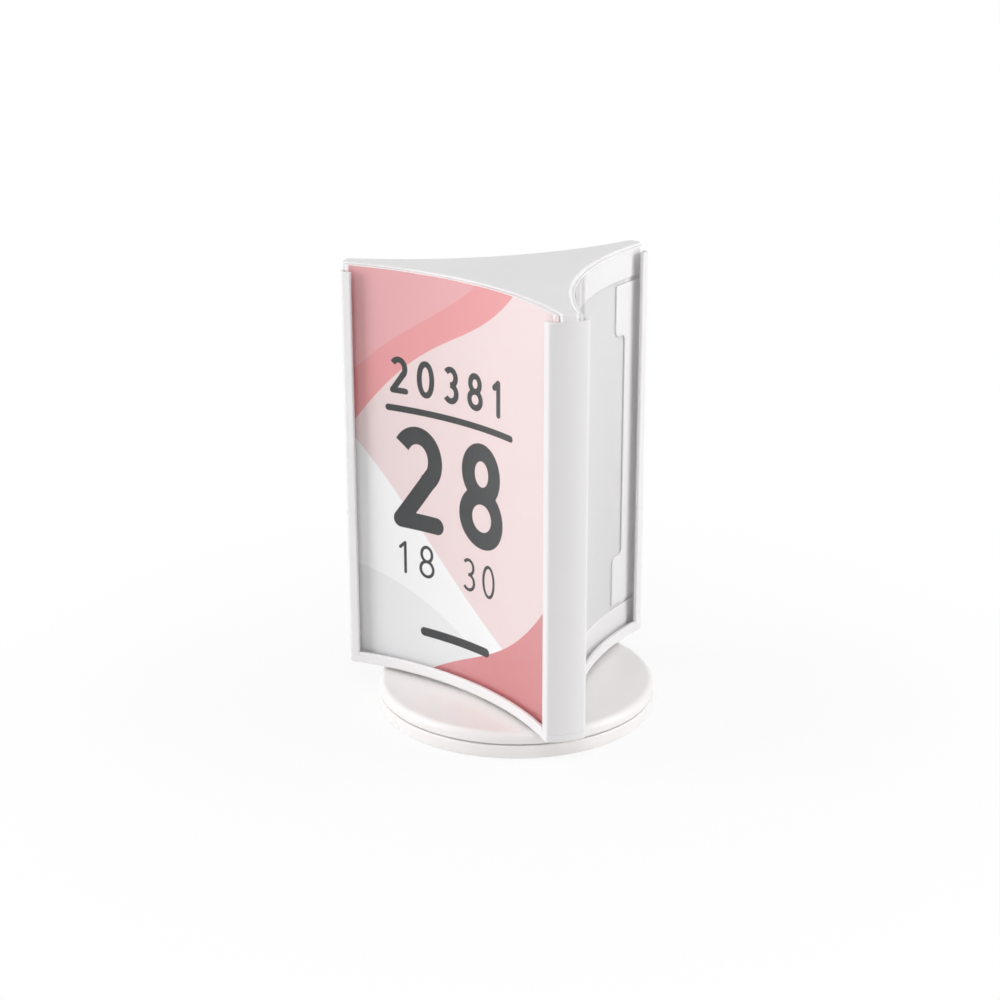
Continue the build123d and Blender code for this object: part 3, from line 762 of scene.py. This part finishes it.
card_width, card_height = 105.0, 148.0
rose, pink = (0.84, 0.42, 0.44), (0.83, 0.34, 0.35)
blush, deep_rose = (0.875, 0.715, 0.715), (0.69, 0.25, 0.26)
mist, mist_low = (0.95, 0.955, 0.955), (0.86, 0.87, 0.88)
ink = (0.02, 0.021, 0.023)
paper_white, paper_shade = (0.84, 0.84, 0.83), (0.80, 0.80, 0.79)
bare_end, bare_top = 1.0, 0.05
ink_edge, wave_softness, figure_width = 0.2, 0.25, 0.56


def vector_node(tree, operation, first, second=None, output="Vector"):
    """Vector math node on sockets, or on plain numbers or vectors; gives one output socket."""
    node = tree.nodes.new("ShaderNodeVectorMath")
    node.operation = operation
    feed(tree, node.inputs[0], first)
    feed(tree, node.inputs["Scale"] if operation == "SCALE" else node.inputs[1], second)
    return node.outputs[output]


def held(tree, value):
    """The value held between 0 and 1."""
    return math_node(tree, "MINIMUM", math_node(tree, "MAXIMUM", value, 0.0), 1.0)


def inked(tree, distance, width):
    """1 where the distance from a stroke's middle line is under half its width, with a slightly soft edge."""
    edge = math_node(tree, "SUBTRACT", math_node(tree, "MULTIPLY", width, 0.5), distance)
    return held(tree, math_node(tree, "MULTIPLY_ADD", edge, 1 / ink_edge, 0.5))


# Straight stroke: distance from the nearest point of the line from start to end
straight_stroke, given, result = new_group(
    "straight_stroke", {"Place": None, "Start": None, "End": None, "Width": 1.0}, ["Mask"]
)
from_start = vector_node(straight_stroke, "SUBTRACT", given.outputs["Place"], given.outputs["Start"])
whole = vector_node(straight_stroke, "SUBTRACT", given.outputs["End"], given.outputs["Start"])
passed = vector_node(straight_stroke, "DOT_PRODUCT", from_start, whole, "Value")
full = vector_node(straight_stroke, "DOT_PRODUCT", whole, whole, "Value")
share = held(straight_stroke, math_node(straight_stroke, "DIVIDE", passed, full))
nearest = vector_node(straight_stroke, "SCALE", whole, share)
gap = vector_node(straight_stroke, "DISTANCE", from_start, nearest, "Value")
straight_stroke.links.new(inked(straight_stroke, gap, given.outputs["Width"]), result.inputs["Mask"])

# Round stroke: distance from an ellipse, |q| (|q| - 1) / |q / radii|, where q is the place from its middle
# divided by its radii. It is left open where the direction of q lies past a limit towards the open side.
round_stroke, given, result = new_group(
    "round_stroke",
    {"Place": None, "Middle": None, "Radii": None, "Width": 1.0, "Open side": None, "Open past": 2.0},
    ["Mask"],
)
radii = given.outputs["Radii"]
offset = vector_node(round_stroke, "SUBTRACT", given.outputs["Place"], given.outputs["Middle"])
q = vector_node(round_stroke, "DIVIDE", offset, radii)
size = vector_node(round_stroke, "LENGTH", q, output="Value")
slope = vector_node(round_stroke, "LENGTH", vector_node(round_stroke, "DIVIDE", q, radii), output="Value")
excess = math_node(round_stroke, "MULTIPLY", math_node(round_stroke, "SUBTRACT", size, 1.0), size)
gap = math_node(round_stroke, "ABSOLUTE", math_node(round_stroke, "DIVIDE", excess, slope))
lean = vector_node(round_stroke, "DOT_PRODUCT", q, given.outputs["Open side"], "Value")
lean = math_node(round_stroke, "DIVIDE", lean, size)
shown = math_node(round_stroke, "LESS_THAN", lean, given.outputs["Open past"])
mask = math_node(round_stroke, "MULTIPLY", inked(round_stroke, gap, given.outputs["Width"]), shown)
round_stroke.links.new(mask, result.inputs["Mask"])

# Wave: 1 above the line y = height + tilt x + swell sin(x / length + phase), with a slightly soft edge
wave_edge, given, result = new_group(
    "wave_edge",
    {"Place": None, "Height": 0.0, "Tilt": 0.0, "Swell": 0.0, "Length": 20.0, "Phase": 0.0},
    ["Mask"],
)
split = wave_edge.nodes.new("ShaderNodeSeparateXYZ")
wave_edge.links.new(given.outputs["Place"], split.inputs[0])
x, y = split.outputs["X"], split.outputs["Y"]
angle = math_node(wave_edge, "DIVIDE", x, given.outputs["Length"])
sine = math_node(wave_edge, "SINE", math_node(wave_edge, "ADD", angle, given.outputs["Phase"]))
line = math_node(wave_edge, "MULTIPLY_ADD", sine, given.outputs["Swell"], given.outputs["Height"])
line = math_node(wave_edge, "MULTIPLY_ADD", x, given.outputs["Tilt"], line)
above = math_node(wave_edge, "SUBTRACT", y, line)
above = math_node(wave_edge, "MULTIPLY_ADD", above, 1 / wave_softness, 0.5)
wave_edge.links.new(held(wave_edge, above), result.inputs["Mask"])


def placed(tree, group, place, **values):
    """A group placed in a material, with its own values; gives its mask."""
    node = tree.nodes.new("ShaderNodeGroup")
    node.node_tree = group
    tree.links.new(place, node.inputs["Place"])
    for name, value in values.items():
        node.inputs[name.replace("_", " ")].default_value = value
    return node.outputs["Mask"]


def figure_strokes(figure, left, foot, height, weight):
    """Strokes of a plain figure, as (group, values), in a box that stands on its foot."""
    width = figure_width * height

    def at(x, y):
        return (left + width * x, foot + height * y, 0)

    def straight(x0, y0, x1, y1):
        return straight_stroke, dict(Start=at(x0, y0), End=at(x1, y1), Width=weight)

    def ring(x, y, across, up, side=(0, 0, 0), past=2.0):
        radii = (width * across, height * up, 1)
        return round_stroke, dict(Middle=at(x, y), Radii=radii, Width=weight, Open_side=side, Open_past=past)

    shapes = {
        "0": [ring(0.5, 0.5, 0.39, 0.45)],
        "1": [straight(0.58, 0.05, 0.58, 0.95), straight(0.58, 0.95, 0.28, 0.8)],
        "2": [ring(0.5, 0.70, 0.38, 0.25, (-0.8, -0.6, 0), 0.35),
              straight(0.80, 0.555, 0.13, 0.05), straight(0.13, 0.05, 0.9, 0.05)],
        "3": [ring(0.46, 0.73, 0.34, 0.22, (-0.906, -0.423, 0), 0.5),
              ring(0.46, 0.28, 0.38, 0.23, (-0.906, 0.423, 0), 0.5)],
        "8": [ring(0.5, 0.73, 0.33, 0.22), ring(0.5, 0.28, 0.40, 0.23)],
    }
    return shapes[figure]


card_paper, tree, shader, place = new_material("printed_card")
spot, spot_across, spot_up = flat_place(tree, card_width, card_height)
grey_wave = placed(tree, wave_edge, spot, Height=34.0, Tilt=-0.38, Swell=5.0, Length=24.0, Phase=0.8)
colour = mixed_colour(tree, grey_wave, mist_low, mist)
waves = [
    (blush, dict(Height=80.0, Tilt=-0.77, Swell=9.0, Length=22.0, Phase=2.2)),
    (pink, dict(Height=84.0, Tilt=0.95, Swell=8.0, Length=18.0, Phase=0.6)),
    (rose, dict(Height=101.0, Tilt=0.95, Swell=7.0, Length=20.0, Phase=1.5)),
]
for tint, values in waves:
    colour = mixed_colour(tree, placed(tree, wave_edge, spot, **values), colour, tint)
low_wave = placed(tree, wave_edge, spot, Height=-28.0, Tilt=0.75, Swell=5.0, Length=16.0, Phase=0.0)
colour = mixed_colour(tree, low_wave, deep_rose, colour)
strokes = [
    (straight_stroke, dict(Start=(16, 98.0, 0), End=(74, 98.0, 0), Width=2.4)),
    (straight_stroke, dict(Start=(30, 15.0, 0), End=(60, 15.0, 0), Width=3.4)),
]
figure_rows = [
    ("20381", (17.0, 28.5, 40.0, 51.5, 63.0), 104.0, 12.5, 2.2),
    ("28", (18.0, 48.0), 55.0, 36.0, 6.4),
    ("1830", (18.0, 28.0, 48.0, 58.0), 36.0, 12.5, 1.2),
]
for figures, lefts, foot, height, weight in figure_rows:
    for figure, left in zip(figures, lefts):
        strokes += figure_strokes(figure, left, foot, height, weight)
printed = None
for group, values in strokes:
    mask = placed(tree, group, spot, **values)
    printed = mask if printed is None else math_node(tree, "MAXIMUM", printed, mask)
colour = mixed_colour(tree, printed, colour, ink)
on_front = math_node(tree, "LESS_THAN", spot_across, card_width + bare_end)
under_top_edge = math_node(tree, "LESS_THAN", spot_up, card_height - bare_top)
on_front = math_node(tree, "MULTIPLY", on_front, under_top_edge)
fibre = noise_node(tree, place, scale=2400.0, detail=2.0)
paper = mixed_colour(tree, mapped(tree, fibre, 0.3, 0.7, 0.0, 1.0), paper_white, paper_shade)
tree.links.new(mixed_colour(tree, on_front, paper, colour), shader.inputs["Base Color"])
tree.links.new(mapped(tree, fibre, 0.3, 0.7, 0.42, 0.5), shader.inputs["Roughness"])
shader.inputs["Specular IOR Level"].default_value = 0.25
bumped(tree, shader, fibre, depth=0.000006, strength=0.3)

card_half, card_top = degrees(card_width / 2 / card_radius), sheet_floor + card_height
bent_card = sheet(card_front_radius, card_back_radius, card_half, sheet_floor, card_top, ease=0.1)
card = solid("printed_sheet", [bent_card])
laid_flat(card, 0, card_radius, sheet_floor, card_width, card_height)
fitted(card, card_paper, "card", "card_print", "insert_card")

# Setting
# A pale floor without an edge in view, and soft lamps from both sides and above. Camera, gloss and
# see-through rays meet a plain white beyond it. Sizes are in metres.

floor_half, floor_points = 4.0, 9
floor_white, floor_shade = (0.86, 0.86, 0.86), (0.85, 0.85, 0.85)
shadow_near, shadow_far, near_whiteness = 0.05, 0.22, 0.88
world_light = 0.15
lamp_distance, lamp_size, lamp_aim = 1.6, 0.8, Vector((0, 0, 0.08))


def seen_directly(tree):
    """1 for the rays that show a surface itself: camera, gloss and see-through rays."""
    rays = tree.nodes.new("ShaderNodeLightPath").outputs
    beyond = math_node(tree, "MAXIMUM", rays["Is Glossy Ray"], rays["Is Transmission Ray"])
    return math_node(tree, "MAXIMUM", rays["Is Camera Ray"], beyond)


floor_line = 1000 * np.linspace(-floor_half, floor_half, floor_points)
across, along = np.meshgrid(floor_line, floor_line)
number = np.arange(across.size).reshape(across.shape)
quads = np.stack([number[:-1, :-1], number[:-1, 1:], number[1:, 1:], number[1:, :-1]], -1).reshape(-1)
floor_spots = np.stack([across.ravel(), along.ravel(), np.zeros(across.size)], -1)
floor = solid("floor", [(floor_spots, quads, np.full(len(quads) // 4, 4))])
floor_paint, tree, shader, place = new_material("floor_paint")
tone = mapped(tree, noise_node(tree, place, scale=3.0, detail=2.0), 0.3, 0.7, 0.0, 1.0)
tree.links.new(mixed_colour(tree, tone, floor_white, floor_shade), shader.inputs["Base Color"])
shader.inputs["Roughness"].default_value = 0.9
shader.inputs["Specular IOR Level"].default_value = 0.1
glow = tree.nodes.new("ShaderNodeEmission")
glow.inputs["Strength"].default_value = 1.0
away = vector_node(tree, "LENGTH", place, output="Value")
whiteness = mapped(tree, away, shadow_near, shadow_far, near_whiteness, 1.0)
white_share = math_node(tree, "MULTIPLY", seen_directly(tree), whiteness)
floor_shader = mixed_shader(tree, white_share, shader.outputs["BSDF"], glow.outputs["Emission"])
tree.links.new(floor_shader, tree.nodes["Material Output"].inputs["Surface"])
floor.data.materials.append(floor_paint)

world = bpy.data.worlds.new("studio")
bpy.context.scene.world = world
world.use_nodes = True
tree = world.node_tree
background = tree.nodes["Background"]
background.inputs["Color"].default_value = (1, 1, 1, 1)
world_strength = mapped(tree, seen_directly(tree), 0.0, 1.0, world_light, 1.0)
tree.links.new(world_strength, background.inputs["Strength"])


def soft_lamp(name, turn, rise, power):
    """Square area lamp at a turn about the tower and a rise above the floor, in degrees, facing the tower."""
    light = bpy.data.lights.new(name, "AREA")
    light.shape = "SQUARE"
    light.size = lamp_size
    light.energy = power
    lamp = bpy.data.objects.new(name, light)
    bpy.context.scene.collection.objects.link(lamp)
    turn, rise = radians(turn), radians(rise)
    towards = Vector((cos(turn) * cos(rise), sin(turn) * cos(rise), sin(rise)))
    lamp.location = lamp_aim + lamp_distance * towards
    lamp.rotation_euler = towards.to_track_quat("Z", "Y").to_euler()


soft_lamp("left_lamp", -125, 12, 12.6)
soft_lamp("high_left_lamp", -135, 50, 6.8)
soft_lamp("front_lamp", -52, 12, 2.3)
soft_lamp("high_front_lamp", -45, 50, 5.3)
soft_lamp("right_lamp", 38, 12, 14.5)
soft_lamp("high_right_lamp", 45, 50, 4.0)

# Camera, as fitted to the photograph: its turn from the first face's front, its rise and its roll, its
# distance from the point that it aims at, and its focal length in pixels of a picture 1000 pixels wide
camera_turn, camera_rise, camera_roll = radians(44.52), radians(19.549), -0.0019
camera_distance, focal_pixels, image_pixels = 0.776028, 2179.63, 1000
aim_right, aim_height = -0.005857, 0.077961
right = Vector((cos(camera_turn), sin(camera_turn), 0))
level_back = Vector((sin(camera_turn), -cos(camera_turn), 0))
backward = cos(camera_rise) * level_back + Vector((0, 0, sin(camera_rise)))
upward = backward.cross(right)
rolled_right = cos(camera_roll) * right + sin(camera_roll) * upward
rolled_up = -sin(camera_roll) * right + cos(camera_roll) * upward
camera_data = bpy.data.cameras.new("view")
camera_data.sensor_width = 36.0
camera_data.lens = focal_pixels / image_pixels * camera_data.sensor_width
camera = bpy.data.objects.new("view", camera_data)
bpy.context.scene.collection.objects.link(camera)
camera_spot = aim_right * right + Vector((0, 0, aim_height)) + camera_distance * backward
turned_axes = Matrix((rolled_right, rolled_up, backward)).transposed().to_4x4()
camera.matrix_world = Matrix.Translation(camera_spot) @ turned_axes
bpy.context.scene.camera = camera
bpy.context.scene.view_settings.view_transform = "Standard"
